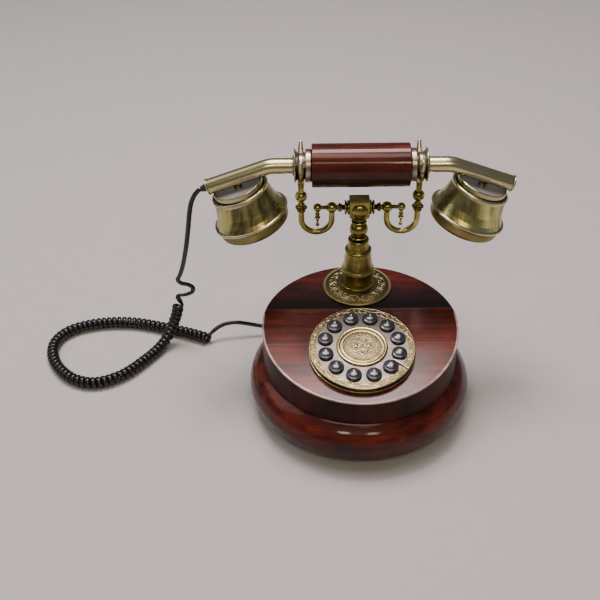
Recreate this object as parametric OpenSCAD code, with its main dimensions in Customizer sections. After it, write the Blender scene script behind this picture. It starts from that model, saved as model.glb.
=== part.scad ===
// French-style cradle telephone: a turned wooden base with a sloped keypad face, a stepped brass
// column with a sprung two-fork cradle, and a wood-gripped handset on a curly cord.
// Millimetres, +Z up, the front faces -Y. The origin is on the floor, at the centre of the base.

/* [Base] */
// Widest diameter of the rounded lower ring
base_d = 200; // [196:1:206]
// Height of the rounded lower ring
ring_h = 46.5; // [45:0.5:48]
// Diameter of the upper wooden block
block_d = 174; // [172:1:176]
// Height of the level rear top above the floor
rear_h = 89; // [87:0.5:91]
// Front-to-back place of the crease where the slope begins
crease_y = 19; // [18:0.5:20]
// Angle of the sloped front face
slope = 10; // [9:0.5:11]
// Height of the rubber feet
foot_h = 2.5; // [2:0.5:3]

/* [Dial] */
// Diameter of the brass dial plate
dial_d = 92; // [90:1:93]
// Distance of the dial centre down the slope from the crease
dial_down = 51; // [50:0.5:52]
// Diameter of the circle of keys
key_circle_d = 65.4; // [65:0.1:66]
// Diameter of one key
key_d = 13.2; // [12.8:0.1:13.4]

/* [Column and cradle] */
// Front-to-back place of the column axis
column_y = 54; // [53.5:0.1:54.5]
// Diameter of the embossed flange
flange_d = 64; // [60:0.5:66]
// Height of the rim of the column above the floor
column_top = 142; // [141:0.5:143]
// Height of the cross arm
arm_z = 174.7; // [174:0.1:175.5]
// Side-to-side place of each fork
fork_x = 51.2; // [51:0.1:51.4]
// Diameter of the bent hook rods
hook_rod_d = 5.3; // [5:0.1:5.6]

/* [Handset] */
// Height of the grip axis above the floor
handset_z = 216.6; // [216.4:0.1:217]
// Diameter of the wooden grip
grip_d = 37.8; // [36:0.2:39]
// Length of the wooden grip
grip_l = 84; // [84:0.5:84.5]
// Outside diameter of the bent tubes
tube_d = 13.6; // [13:0.2:14]
// Distance from the middle to each tube's bend
bend_x = 78; // [76:0.5:80]
// Angle that each tube drops by
tube_drop = 20; // [19:0.5:21]
// Length of the dropped part of each tube
tube_l = 58; // [57:0.5:60]
// Distance from the bend to the cup, along the tube
cup_along = 33; // [32:0.5:34]
// Diameter of the cup's lower rolled rim
cup_d = 69; // [68:0.5:70]

/* [Cord] */
// Outside diameter of the curly stretch
curl_d = 12; // [11.6:0.1:12]
// Width of the uncoiled cord
lead_d = 4.4; // [4:0.1:4.6]

/* [Hidden] */
$fn = 64;

// Base
ring_r = ring_h / 2;                       // radius of the ring's round outer face
ring_top = foot_h + ring_h;
ring_centre_r = base_d / 2 - ring_r;
ring_bore_r = 70;
plate_r = 80;
plate_t = 2.5;
block_r = block_d / 2;
block_bottom = ring_top - 1;               // the ring's crown dips this much where the block lands
wall_t = 10;
cavity_r = block_r - wall_t;
board_z = 18;
shaft_r = 4;                               // cradle plunger
shaft_clear = 0.08;
tube_low = 64;                              // lower end of the tube that clamps the column
spring_r = 5.2;
spring_low = 66.6;                           // spring's lower end
spring_turns = 6;
spring_pitch = 32.6 / spring_turns;

// Sockets in the ring: direction round the base, and height
line_jack_turn = 90;
handset_jack_turn = 130;
switch_turn = -8;
jack_z = 18;
jack_face = 94.5;
jack_l = 11;
jack_w = 13.6;
jack_h = 12;

// Dial, heights above the sloped face
plate_low = 5;
plate_high = 6.6;
housing_r = dial_d / 2 - 1.4;
housing_stem_r = 42;
housing_floor = -6;
key_r = key_d / 2;
key_collar_r = 7.4;
key_gap = 0.3;
key_rise = 4.6;                            // crown of a key above the dial plate
ring_out_r = 22.3;
ring_in_r = 19;

// Cradle
block_w = 18;
block_deep = 14.5;
block_low = 165.5;
block_top = 183.5;
boss_r = 7.2;                              // domed boss on the block's front and back
boss_rise = 3.8;
boss_z = 174;
ball_r = 8.3;
ball_z = 151.9;
arm_ball_x = 24.3;
arm_end_x = 36.9;
hook_r = (fork_x - arm_ball_x) / 2;        // radius of each hook's U, to the rod's centre
hook_low = 163;                            // height of the centre of the U
fork_low = 171;
fork_r = 13.5;                             // radius of each fork's bow, to the rod's centre
fork_tip_y = 19;
fork_tip_z = 229;
prong_r = 2.75;

// Handset
groove_r = 10.7;
collar_in = grip_l / 2;
collar_out = 58.3;
tube_r = tube_d / 2;
tube_bore_r = tube_r - 1.3;
gland_r = 2.9;
bend_r = 24;                               // radius of each tube's bend, to its centre line
cup_r = cup_d / 2;

// Cord routes, [x, y, z] along the middle of the cord
handset_lead_route = [
    [-139.6, 54, 194.2], [-143.5, 54.5, 189.5], [-147.5, 56, 181], [-150.5, 58, 168],
    [-153.5, 62, 149], [-157.5, 67, 126], [-163.5, 75, 99], [-167.5, 79.5, 86],
    [-170.5, 82.5, 78], [-168, 84, 73], [-161.5, 85.5, 70], [-157.5, 87, 65.5],
    [-158.5, 88, 59.5], [-165, 89, 55.5], [-173, 89, 54], [-177, 89, 50.5], [-176.5, 88.5, 46]
];
curl_route = [
    [-173.5, 88, 46], [-174.5, 87.5, 38], [-178, 86, 27], [-182.5, 82, 17], [-188, 74.5, 9.5],
    [-195, 64, 6.2], [-207.5, 46, 6.1], [-220, 31, 6.1], [-235, 20.5, 6.1], [-251.5, 16, 6.1],
    [-269, 21, 6.1], [-284, 34, 6.1], [-295, 52, 6.1], [-299, 72, 6.1], [-294, 88.5, 6.1],
    [-281.5, 100, 6.1], [-263, 107, 6.1], [-242, 109.5, 6.1], [-221, 108, 6.1],
    [-199, 102, 6.1], [-179.5, 95.5, 6.1], [-161, 88.5, 6.1], [-144.5, 80.5, 6.1]
];
base_lead_route = [
    [-148, 81.5, 9.5], [-142.5, 84, 11.5], [-136, 88.5, 14.5], [-129.5, 91, 16.5],
    [-118.5, 92.5, 17.5], [-106.5, 94, 14.5], [-92, 94, 11.5], [-81, 91.5, 13],
    [-73.5, 87, 16.5], [-67, 79.5, 18], [-63, 75, 18]
];

// ---------- helpers ----------

// Points of an arc, from angle a0 to angle a1
function arc(cx, cy, r, a0, a1, n = 12) =
    [for (i = [0:n]) let (a = a0 + (a1 - a0) * i / n) [cx + r * cos(a), cy + r * sin(a)]];

function unit(v) = v / norm(v);

// Direction of a route at each of its points
function headings(p) = [
    for (i = [0:len(p) - 1]) unit(p[min(i + 1, len(p) - 1)] - p[max(i - 1, 0)])
];

// Sideways directions carried along a route without twisting
function carried(t, u, i = 1) =
    i == len(t) ? u
    : carried(t, concat(u, [unit(u[i - 1] - (u[i - 1] * t[i]) * t[i])]), i + 1);

// A round tube swept through a route
module swept(route, d, sides) {
    t = headings(route);
    first = unit(cross(t[0], [0.31, 0.83, 0.46]));
    u = carried(t, [first]);
    last = (len(route) - 1) * sides;
    points = [
        for (i = [0:len(route) - 1], k = [0:sides - 1])
            let (a = 360 * k / sides)
            route[i] + d / 2 * (cos(a) * u[i] + sin(a) * cross(t[i], u[i]))
    ];
    walls = [
        for (i = [0:len(route) - 2], k = [0:sides - 1])
            let (j = i * sides, n = (k + 1) % sides)
            [j + k, j + sides + k, j + sides + n, j + n]
    ];
    start = [for (k = [0:sides - 1]) k];
    end = [for (k = [sides - 1:-1:0]) last + k];
    polyhedron(points, concat([start, end], walls), convexity = 10);
}

module both_sides() {
    children();
    mirror([1, 0, 0]) children();
}

// Place round the base: +X points outward
module round_base(turn, z = 0) rotate([0, 0, turn]) translate([0, 0, z]) children();

// Place on the sloped face, at the centre of the dial
module on_slope()
    translate([0, crease_y - dial_down * cos(slope), rear_h - dial_down * sin(slope)])
        rotate([slope, 0, 0]) children();

// Place on the column's axis
module on_column(z = 0) translate([0, column_y, z]) children();

// Turned about the handset's own axis, with +Z of the child along +X
module along_grip(x) translate([x, column_y, handset_z]) rotate([0, 90, 0]) children();

// Place on the right-hand tube's dropped part, +X along the tube and +Z away from the cup
module on_drop(along)
    translate([bend_x, column_y, handset_z]) rotate([0, tube_drop, 0])
        translate([along, 0, 0]) children();

// Place of key number i, counted clockwise from the upper right
module at_key(i) on_slope()
    rotate([0, 0, 45 - 30 * i]) translate([key_circle_d / 2, 0, 0]) children();

// A ball, a bead and a plain turned bar, all along +Z
module bead(z, r, t) translate([0, 0, z]) rotate_extrude()
    polygon(concat([[0, -t / 2]], arc(r - t / 2, 0, t / 2, -90, 90, 8), [[0, t / 2]]));

// ---------- base ----------

module ring_outline()
    polygon(concat(
        [[ring_bore_r, block_bottom], [ring_bore_r, foot_h + plate_t + 0.2],
         [plate_r + 0.4, foot_h + plate_t + 0.2], [plate_r + 0.4, foot_h + 0.15]],
        arc(ring_centre_r, foot_h + ring_r, ring_r, -79, 66, 30),
        [[block_r - 0.5, block_bottom]]
    ));

module plinth_ring() color("saddlebrown") difference() {
    rotate_extrude($fn = 128) ring_outline();
    for (turn = [line_jack_turn, handset_jack_turn]) round_base(turn, jack_z) {
        translate([jack_face, -9, -7.5]) cube([20, 18, 15]);
        translate([jack_face - jack_l - 30, -jack_w / 2 - 0.1, -jack_h / 2 - 0.1])
            cube([jack_l + 31, jack_w + 0.2, jack_h + 0.2]);
    }
    round_base(switch_turn, 25) {
        translate([96, -9, -4.5]) cube([10, 18, 9]);
        translate([60, -7.1, -3.6]) cube([40, 14.2, 7.2]);
    }
    for (i = [0:3]) round_base(45 + 90 * i) translate([75, 0, 0]) cylinder(r = 1.6, h = 16);
}

module top_block() color("darkred") difference() {
    rotate_extrude($fn = 128) polygon(concat(
        [[0, block_bottom], [block_r, block_bottom]],
        arc(block_r - 1.5, rear_h - 1.5, 1.5, 0, 90, 4),
        [[0, rear_h]]
    ));
    translate([-120, crease_y, rear_h]) rotate([180 + slope, 0, 0])
        translate([0, 0, -60]) cube([240, 150, 60]);
    // hollow underside, following the sloped face
    difference() {
        translate([0, 0, block_bottom - 1]) cylinder(r = cavity_r, h = rear_h - wall_t - block_bottom + 1);
        translate([-120, crease_y, rear_h - wall_t]) rotate([180 + slope, 0, 0])
            translate([0, 0, -60]) cube([240, 150, 60]);
    }
    on_slope() translate([0, 0, -20]) cylinder(r = housing_stem_r + 0.5, h = 40);
    on_column(60) cylinder(r = 8.1, h = 60);
}

module bottom_plate() color("dimgray") difference() {
    translate([0, 0, foot_h]) cylinder(r = plate_r, h = plate_t, $fn = 128);
    for (i = [0:3]) round_base(45 + 90 * i) translate([75, 0, 0]) cylinder(r = 1.6, h = 16);
    for (i = [-3:3]) translate([i * 6 - 30, -30, 0]) cylinder(r = 1.5, h = 16);
}

module feet() color("black") for (i = [0:3]) round_base(90 * i) translate([68, 0, 0])
    rotate_extrude() polygon([[0, 0], [6, 0], [7, foot_h], [0, foot_h]]);

module plate_screws() color("silver") for (i = [0:3]) round_base(45 + 90 * i) translate([75, 0, 0])
    difference() {
        union() {
            translate([0, 0, foot_h]) cylinder(r = 1.5, h = 12);
            translate([0, 0, foot_h - 1.6]) cylinder(r1 = 2.2, r2 = 3.2, h = 1.6);
        }
        translate([-2.5, -0.4, foot_h - 2]) cube([5, 0.8, 1]);
    }

module ballast() color("gray") translate([-21, -62, foot_h + plate_t]) cube([42, 26, 8]);

module circuit_board() {
    color("darkgreen") translate([-48, -30, board_z]) cube([88, 56, 1.6]);
    color("black") {
        translate([-20, -14, board_z + 1.6]) cube([22, 10, 3.5]);
        translate([-40, 6, board_z + 1.6]) cube([10, 10, 3]);
        translate([20, 2, board_z + 1.6]) cube([14, 10, 8]);
    }
    color("navy") for (i = [0:3]) translate([-38 + 11 * i, -24, board_z + 1.6]) cylinder(r = 3, h = 9);
    color("silver") for (x = [-42, 34], y = [-26, 20])
        translate([x, y, foot_h + plate_t]) cylinder(r = 2.5, h = board_z - foot_h - plate_t);
}

module ringer() color("black") translate([50, 22, foot_h + plate_t]) difference() {
    cylinder(r = 13, h = 9);
    translate([0, 0, 8]) cylinder(r = 2, h = 5);
}

module hook_switch() {
    color("black") on_column(0) translate([-6, -3, foot_h + plate_t]) cube([12, 8, 34]);
    color("silver") on_column(0) translate([-2.5, -3, foot_h + plate_t + 34]) cube([5, 14, 0.6]);
}

module jack_housing(wide, high) color("black") difference() {
    translate([jack_face - jack_l, -jack_w / 2, -jack_h / 2]) cube([jack_l - 0.2, jack_w, jack_h]);
    translate([jack_face - jack_l + 1.5, -wide / 2, -high / 2]) cube([20, wide, high]);
}

module line_jack() round_base(line_jack_turn, jack_z) jack_housing(10.2, 7.2);
module handset_jack() round_base(handset_jack_turn, jack_z) jack_housing(8.4, 7.4);

module ringer_switch() color("dimgray") round_base(switch_turn, 25) difference() {
    translate([86, -7, -3.5]) cube([9.8, 14, 7]);
    translate([92.5, -5.5, -1.5]) cube([10, 11, 3]);
}

module ringer_slider() color("silver") round_base(switch_turn, 25)
    translate([92.8, -4.9, -1.2]) cube([5.4, 4, 2.4]);

// ---------- dial ----------

module dial_trim() color("goldenrod") on_slope() rotate_extrude($fn = 128) polygon(concat(
    [[housing_stem_r + 0.3, 0]],
    arc(dial_d / 2 - 0.3, 0.8, 0.8, -90, 90, 6),
    [[housing_stem_r + 0.3, 1.6]]
));

module dial_housing() color("black") on_slope() difference() {
    union() {
        translate([0, 0, 1.6]) cylinder(r = housing_r, h = plate_low - 1.6, $fn = 128);
        translate([0, 0, housing_floor - 7]) cylinder(r = housing_stem_r, h = 8.6 - housing_floor);
    }
    difference() {
        translate([0, 0, housing_floor]) cylinder(r = key_circle_d / 2 + 8.3, h = 30);
        cylinder(r = key_circle_d / 2 - 8.3, h = 60, center = true);
    }
    translate([0, 0, housing_floor - 8]) cylinder(r = housing_stem_r - 2, h = 6);
}

module keypad_mat() color("slategray") on_slope() difference() {
    translate([0, 0, housing_floor]) cylinder(r = key_circle_d / 2 + 8, h = 1.6);
    translate([0, 0, -30]) cylinder(r = key_circle_d / 2 - 8, h = 60);
}

module keypad_board() color("darkgreen") on_slope()
    translate([0, 0, housing_floor - 3.6]) cylinder(r = housing_stem_r - 2.3, h = 1.6);

module dial_plate() color("tan") on_slope() difference() {
    rotate_extrude($fn = 128) polygon([
        [5, plate_low], [dial_d / 2 - 0.4, plate_low], [dial_d / 2, plate_low + 0.4],
        [dial_d / 2, plate_high - 0.5], [dial_d / 2 - 0.7, plate_high], [5, plate_high]
    ]);
    for (i = [0:11]) rotate([0, 0, 15 + 30 * i]) translate([key_circle_d / 2, 0, 0])
        cylinder(r = key_r + key_gap, h = 20);
}

module centre_ring() color("khaki") on_slope() rotate_extrude($fn = 96) polygon(concat(
    [[ring_in_r, plate_high]],
    arc((ring_out_r + ring_in_r) / 2, plate_high + 0.3, (ring_out_r - ring_in_r) / 2, 0, 180, 10)
));

module medallion() color("khaki") on_slope() difference() {
    union() {
        translate([0, 0, plate_high]) cylinder(r = ring_in_r - 0.6, h = 0.9, $fn = 96);
        for (i = [0:7]) rotate([0, 0, 45 * i]) translate([5.5, 0, plate_high])
            cylinder(r = 1.8, h = 1.4);
    }
    translate([0, 0, plate_high + 0.7]) difference() {
        cylinder(r = ring_in_r - 2.2, h = 1);
        cylinder(r = ring_in_r - 3.2, h = 3, center = true);
    }
}

module finger_stop() color("khaki") on_slope() rotate([0, 0, -30]) translate([0, 0, plate_high])
    linear_extrude(1.3) polygon([[30.5, 0], [45.7, -3.4], [45.4, 5]]);

// A domed key with its guide collar and stem, sitting at full rise
module key_cap(i) color("black") at_key(i) rotate_extrude() polygon(concat(
    [[0, -1.9], [3, -1.9], [3, 2.4], [key_collar_r, 2.4], [key_collar_r, plate_low - 0.4],
     [key_r, plate_low - 0.4], [key_r, plate_high + 2]],
    arc(key_r - 1, plate_high + 2.1, 0.9, 0, 50, 3),
    [for (a = [15:15:90]) [(key_r - 1.5) * cos(a), plate_high + 2.7 + (key_rise - 2.7) * sin(a)]]
));

module key_1() key_cap(0);
module key_2() key_cap(-1);
module key_3() key_cap(-2);
module key_4() key_cap(-3);
module key_5() key_cap(-4);
module key_6() key_cap(-5);
module key_7() key_cap(-6);
module key_8() key_cap(-7);
module key_9() key_cap(-8);
module key_0() key_cap(-9);
module key_star() key_cap(2);
module key_hash() key_cap(1);

// ---------- column ----------

module flange() color("darkkhaki") on_column(rear_h) rotate_extrude($fn = 128) polygon(concat(
    [[8.1, 0]],
    arc(flange_d / 2 - 1, 1, 1, -90, 90, 6),
    [[flange_d / 2 - 3, 1.8], [22, 3.4], [15.5, 4]],
    [[8.1, 4]]
));

module column_foot() color("olive") on_column() rotate_extrude($fn = 96) polygon(concat(
    [[8.1, rear_h + 4], [15.7, rear_h + 4]],
    arc(14.8, rear_h + 4.9, 0.9, -30, 80, 5),
    [[14.4, rear_h + 7], [14.2, 107.8]],
    arc(14, 108.9, 0.9, -60, 60, 6),
    arc(13.9, 110.9, 0.8, -60, 75, 6),
    [[13.2, 113.6], [8.1, 113.6]]
));

module column_sleeve() color("olive") on_column() rotate_extrude($fn = 96) polygon(concat(
    [[6.5, 113.6], [13.2, 113.6], [12.3, 122], [11.7, 129]],
    arc(11.4, 130.6, 0.7, -30, 90, 5),
    [[10.3, 131.3], [9.6, 132], [9.3, column_top - 1.8]],
    arc(8.9, column_top - 0.6, 0.6, -30, 90, 5),
    [[7.9, column_top], [7.6, column_top - 3], [shaft_r + shaft_clear, column_top - 3.4],
     [shaft_r + shaft_clear, 124], [6.5, 122]]
));

module mounting_tube() color("goldenrod") on_column(tube_low) difference() {
    cylinder(r = 8, h = 113.4 - tube_low);
    translate([0, 0, 2]) cylinder(r = 6.5, h = 60);
    translate([0, 0, -1]) cylinder(r = shaft_r + shaft_clear, h = 5);
}

module mounting_nut() color("goldenrod") on_column(rear_h - wall_t - 6) difference() {
    cylinder(r = 13, h = 6, $fn = 6);
    translate([0, 0, -1]) cylinder(r = 8.05, h = 9);
}

// A compression spring between the mounting tube's floor and the collar on the plunger: half
// rings that tilt one way and then the other, each running a little into the next, thicker one
module plunger_spring() color("silver") on_column(spring_low) for (k = [0:2 * spring_turns - 1])
    translate([0, 0, (k + 0.5) * spring_pitch / 2])
        rotate([0, (k % 2 == 0 ? 1 : -1) * asin(spring_pitch / 4 / spring_r), 0])
            rotate([0, 0, 180 * k - 3]) rotate_extrude(angle = 186, $fn = 24)
                translate([spring_r, 0]) circle(r = k % 2 == 0 ? 0.5 : 0.6, $fn = 14);

// ---------- cradle ----------

module cradle_stem() color("olive") on_column() rotate_extrude($fn = 96) polygon(concat(
    [[0, 40.2], [3, 40.2], [shaft_r, 41.2], [shaft_r, 100], [6.2, 100], [6.2, 102], [shaft_r, 102],
     [shaft_r, column_top + 1], [6.4, column_top + 1.4]],
    arc(6.6, column_top + 2.5, 0.9, -60, 80, 5),
    arc(0, ball_z, ball_r, -48, 54, 14),
    [[4.6, 159.2]],
    arc(6.1, 160.4, 0.9, -90, 90, 5),
    [[5, 161.6], [5, 163]],
    arc(6, 164.3, 0.9, -90, 60, 5),
    [[6, block_low], [0, block_low]]
));

// A rectangle centred on X, standing on y = 0, with its corners cut off
module cut_rectangle(w, h, low, high) polygon([
    [-w / 2 + low, 0], [w / 2 - low, 0], [w / 2, low], [w / 2, h - high],
    [w / 2 - high, h], [-w / 2 + high, h], [-w / 2, h - high], [-w / 2, low]
]);

module cradle_block() color("olive") on_column(block_low) {
    high = block_top - block_low;
    intersection() {
        rotate([90, 0, 0]) linear_extrude(block_deep, center = true)
            cut_rectangle(block_w, high, 3, 0.9);
        rotate([90, 0, 90]) linear_extrude(block_w, center = true)
            cut_rectangle(block_deep, high, 2, 0.9);
        translate([0, -block_deep / 2, 0]) linear_extrude(high)
            cut_rectangle(block_w, block_deep, 0.9, 0.9);
    }
    // domed boss on the front and rear faces
    for (turn = [0, 180]) rotate([0, 0, turn]) translate([0, -block_deep / 2, boss_z - block_low])
        rotate([90, 0, 0]) rotate_extrude()
            polygon(concat(
                [[0, -0.5], [boss_r, -0.5]],
                [for (a = [0:10:90]) [boss_r * cos(a), boss_rise * sin(a)]]
            ));
}

// Turned spool beads out to the inner ball, then a thin beaded rod to the end ball
module cradle_arms() color("olive") both_sides() on_column(arm_z) rotate([0, 90, 0])
    rotate_extrude($fn = 48) polygon(concat(
        [[0, block_w / 2]],
        arc(5.8, 9.9, 0.8, -80, 80, 5),
        [[3.4, 11]],
        arc(5.6, 12.3, 0.9, -60, 60, 5),
        [[2.2, 13.4], [2.6, 14.4], [2, 15]],
        arc(2.9, 16.1, 0.8, -70, 70, 4),
        arc(3.5, 17.9, 0.8, -70, 70, 4),
        [[2.1, 19]],
        arc(0, arm_ball_x, 4.9, -62, 62, 12),
        [[1.5, 29.3]],
        arc(1.7, 30.2, 0.5, -70, 70, 4),
        [[1.4, 31.2]],
        arc(1.7, 32.1, 0.5, -70, 70, 4),
        [[1.4, 33]],
        arc(0, arm_end_x, 3.8, -68, 90, 14)
    ));

// Small turned drops that hang from the end balls
module drop_finials() color("olive") both_sides() translate([arm_end_x, column_y, 0]) difference() {
    rotate_extrude($fn = 32) polygon(concat(
        [[0, 155.3]],
        arc(0, 157.1, 1.8, -80, 50, 7),
        [[1, 159.6], [1.2, 162]],
        arc(1.8, 164.6, 0.8, -70, 80, 5),
        [[1.6, 166.2]],
        arc(1.4, 168, 0.8, -60, 70, 4),
        [[1.3, 169.4], [1.9, 170.4], [1.9, 172], [0, 172]]
    ));
    translate([0, 0, arm_z]) sphere(r = 3.85);
}

// Each hook is one bent rod: down from the inner ball, round the U and up to the fork
module hooks() color("olive") both_sides() translate([0, column_y, 0]) difference() {
    union() {
        translate([arm_ball_x + hook_r, 0, hook_low]) rotate([90, 0, 0]) rotate([0, 0, 180])
            rotate_extrude(angle = 180) translate([hook_r, 0]) circle(r = hook_rod_d / 2);
        translate([arm_ball_x, 0, hook_low]) cylinder(r = hook_rod_d / 2, h = 9);
        translate([fork_x, 0, hook_low]) cylinder(r = hook_rod_d / 2, h = fork_low - hook_low);
    }
    translate([arm_ball_x, 0, arm_z]) sphere(r = 4.95);
}

// One leaf-shaped prong, leaning away from the handset: thickest a third of the way up
module prong() {
    lean = atan2(fork_tip_y - fork_r, fork_tip_z - handset_z);
    long = norm([fork_tip_y - fork_r, fork_tip_z - handset_z]);
    translate([0, fork_r, handset_z]) {
        sphere(r = 2.5, $fn = 32);
        rotate([-lean, 0, 0]) {
            cylinder(r1 = 2.4, r2 = prong_r, h = long / 3);
            translate([0, 0, long / 3]) sphere(r = prong_r + 0.04, $fn = 48);
            translate([0, 0, long / 3]) cylinder(r1 = prong_r, r2 = 1.8, h = long * 2 / 3);
        }
    }
    translate([0, fork_tip_y, fork_tip_z]) sphere(r = 1.9, $fn = 32);
}

module forks() color("olive") both_sides() translate([fork_x, column_y, 0]) {
    rotate_extrude($fn = 48) polygon(concat(
        [[0, fork_low]],
        arc(3, fork_low + 0.9, 0.9, -80, 60, 5),
        [[3, fork_low + 2.2], [4.8, fork_low + 3.6]],
        arc(4.9, fork_low + 4.2, 0.5, -60, 90, 5),
        [[3.4, fork_low + 4.9], [2.4, fork_low + 5.9]],
        arc(2.2, fork_low + 7.4, 1.1, -60, 60, 6),
        [[2, fork_low + 9.2]],
        arc(0, 186.3, 5.3, -66, 62, 14),
        [[2.5, 192.5], [2.6, 196], [3.1, 200], [2.9, 203.4], [0, 203.4]]
    ));
    translate([0, 0, handset_z]) rotate([0, 90, 0]) rotate([0, 0, -90]) rotate_extrude(angle = 180)
        translate([fork_r, 0]) circle(r = 2.4);
    prong();
    mirror([0, 1, 0]) prong();
}

// ---------- handset ----------

module grip() color("maroon") along_grip(0) rotate_extrude($fn = 96) polygon(concat(
    [[shaft_r + 0.1, -grip_l / 2]],
    arc(grip_d / 2 - 0.8, 0.8 - grip_l / 2, 0.8, -90, 0, 4),
    arc(grip_d / 2 - 0.8, grip_l / 2 - 0.8, 0.8, 0, 90, 4),
    [[shaft_r + 0.1, grip_l / 2]]
));

module tie_rod() color("silver") along_grip(-49.6) cylinder(r = shaft_r, h = 99.2);

module collars() color("palegoldenrod") both_sides() along_grip(0) rotate_extrude($fn = 96)
    polygon(concat(
        [[shaft_r + 0.1, collar_in], [13.4, collar_in]],
        arc(13.2, collar_in + 1.2, 1.2, -70, 0, 4),
        arc(13.2, collar_in + 4.4, 1.2, 0, 80, 4),
        [[12, collar_in + 5.8], [groove_r + 0.4, collar_in + 6.6],
         [groove_r, collar_in + 8], [groove_r, collar_in + 10.2],
         [groove_r + 0.9, collar_in + 12], [13.4, collar_out - 2.6]],
        arc(14.1, collar_out - 1.9, 0.6, -90, 90, 6),
        [[9.4, collar_out - 0.9], [8.6, collar_out], [tube_r + 0.03, collar_out],
         [tube_r + 0.03, 50], [shaft_r + 0.1, 50]]
    ));

// A round bar: along the handset's axis, round the bend and down to its end
module bent_bar(r, low, high) {
    tangent = bend_r * tan(tube_drop / 2);
    along_grip(low) cylinder(r = r, h = bend_x - tangent - low);
    // the bend is a hair thicker, and runs a little into the straight parts
    translate([bend_x - tangent, column_y, handset_z - bend_r]) rotate([90, 0, 0])
        rotate([0, 0, 90 - tube_drop - 1]) rotate_extrude(angle = tube_drop + 2)
            translate([bend_r, 0]) circle(r = r + 0.04);
    on_drop(tangent) rotate([0, 90, 0]) cylinder(r = r, h = high - tangent);
}

module bent_tube(cord_hole) difference() {
    union() {
        bent_bar(tube_r, 50.2, tube_l - 1.6);
        on_drop(tube_l - 1.6) rotate([0, 90, 0]) rotate_extrude() polygon(concat(
            [[0, 0], [tube_r - 0.2, 0]],
            arc(tube_r - 0.2, 0.9, 0.8, -70, 90, 6),
            [[tube_r - 1.4, 2.2], [0, 2.6]]
        ));
    }
    bent_bar(tube_bore_r, 49, tube_l - 3);
    if (cord_hole) on_drop(tube_l - 4) rotate([0, 90, 0]) cylinder(r = gland_r + 0.1, h = 9);
}

module handset_tubes() color("darkkhaki") {
    bent_tube(false);
    mirror([1, 0, 0]) bent_tube(true);
}

// Flared cup with a rolled bead at each end, open towards its cap
module cup_shells() color("olive") both_sides() on_drop(cup_along) rotate_extrude($fn = 128)
    polygon(concat(
        [[4, -12.8], [23.6, -12.8], [24, -12.1]],
        arc(24.6, -13, 1.5, 110, -60, 7),
        [[25.4, -15.4], [26.2, -20], [28, -28], [30.4, -34.4], [32.4, -37.9]],
        arc(cup_r - 1.4, -39.1, 1.4, 130, -90, 9),
        [[31.9, -40.5], [31.4, -38.6], [29, -34], [26.6, -28], [24.8, -20], [23.8, -14.2], [4, -14.2]]
    ));

module back_discs() color("palegoldenrod") both_sides() on_drop(cup_along) rotate_extrude($fn = 128)
    polygon(concat(
        [[0, -12.8], [22.4, -12.8], [22.9, -12.3], [22.6, -8]],
        arc(21.7, -7.9, 0.9, 0, 180, 6),
        [[20.6, -8.7], [18, -9.1], [4, -9.4], [3.6, -9.1], [3.4, -6.9], [0, -6.9]]
    ));

module cap_body(rings) on_drop(cup_along) difference() {
    rotate_extrude($fn = 128) polygon(concat(
        [[28.6, -37.6], [30.2, -37.6], [30.2, -40.5], [31, -40.5], [31.8, -42], [31.9, -44.6]],
        arc(27.9, -47.1, 4, 0, -80, 7),
        [[25.5, -51.3], [23.5, -50.1], [0, -48.8], [0, -46.8], [24, -47.4], [28.6, -46]]
    ));
    translate([0, 0, -60]) cylinder(r = 1.1, h = 20);
    for (k = [1:rings], i = [0:6 * k - 1]) rotate([0, 0, 60 * i / k])
        translate([5.5 * k, 0, -60]) cylinder(r = 1.1, h = 20, $fn = 24);
}

module mouth_cap() color("olive") mirror([1, 0, 0]) cap_body(2);
module ear_cap() color("olive") cap_body(1);

module capsules() color("silver") both_sides() on_drop(cup_along) translate([0, 0, -46.4]) {
    cylinder(r = 20, h = 6);
    cylinder(r = 14, h = 12);
}

module cord_gland() color("black") mirror([1, 0, 0]) on_drop(tube_l) rotate([0, 90, 0])
    rotate_extrude($fn = 32) polygon([
        [0, -3], [gland_r, -3], [gland_r, 1.7], [gland_r + 0.5, 2], [gland_r + 0.4, 3],
        [2.5, 6], [0, 6]
    ]);

// ---------- cord ----------

module cord_lead_handset() color("black") swept(handset_lead_route, lead_d, 8);
module cord_curl() color("black") swept(curl_route, curl_d, 12);
module cord_lead_base() color("black") swept(base_lead_route, lead_d, 8);

module cord_plug() color("black") round_base(handset_jack_turn, jack_z)
    translate([85.6, -3.8, -3.3]) cube([13.8, 7.6, 6.6]);

plinth_ring();
top_block();
bottom_plate();
feet();
plate_screws();
ballast();
circuit_board();
ringer();
hook_switch();
line_jack();
handset_jack();
ringer_switch();
ringer_slider();
dial_trim();
dial_housing();
keypad_mat();
keypad_board();
dial_plate();
centre_ring();
medallion();
finger_stop();
key_1();
key_2();
key_3();
key_4();
key_5();
key_6();
key_7();
key_8();
key_9();
key_0();
key_star();
key_hash();
flange();
column_foot();
column_sleeve();
mounting_tube();
mounting_nut();
plunger_spring();
cradle_stem();
cradle_block();
cradle_arms();
drop_finials();
hooks();
forks();
grip();
tie_rod();
collars();
handset_tubes();
cup_shells();
back_discs();
mouth_cap();
ear_cap();
capsules();
cord_gland();
cord_lead_handset();
cord_curl();
cord_lead_base();
cord_plug();
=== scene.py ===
import math
import bmesh
import bpy
import numpy as np
from mathutils import Matrix, Vector
from mathutils.bvhtree import BVHTree


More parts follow.
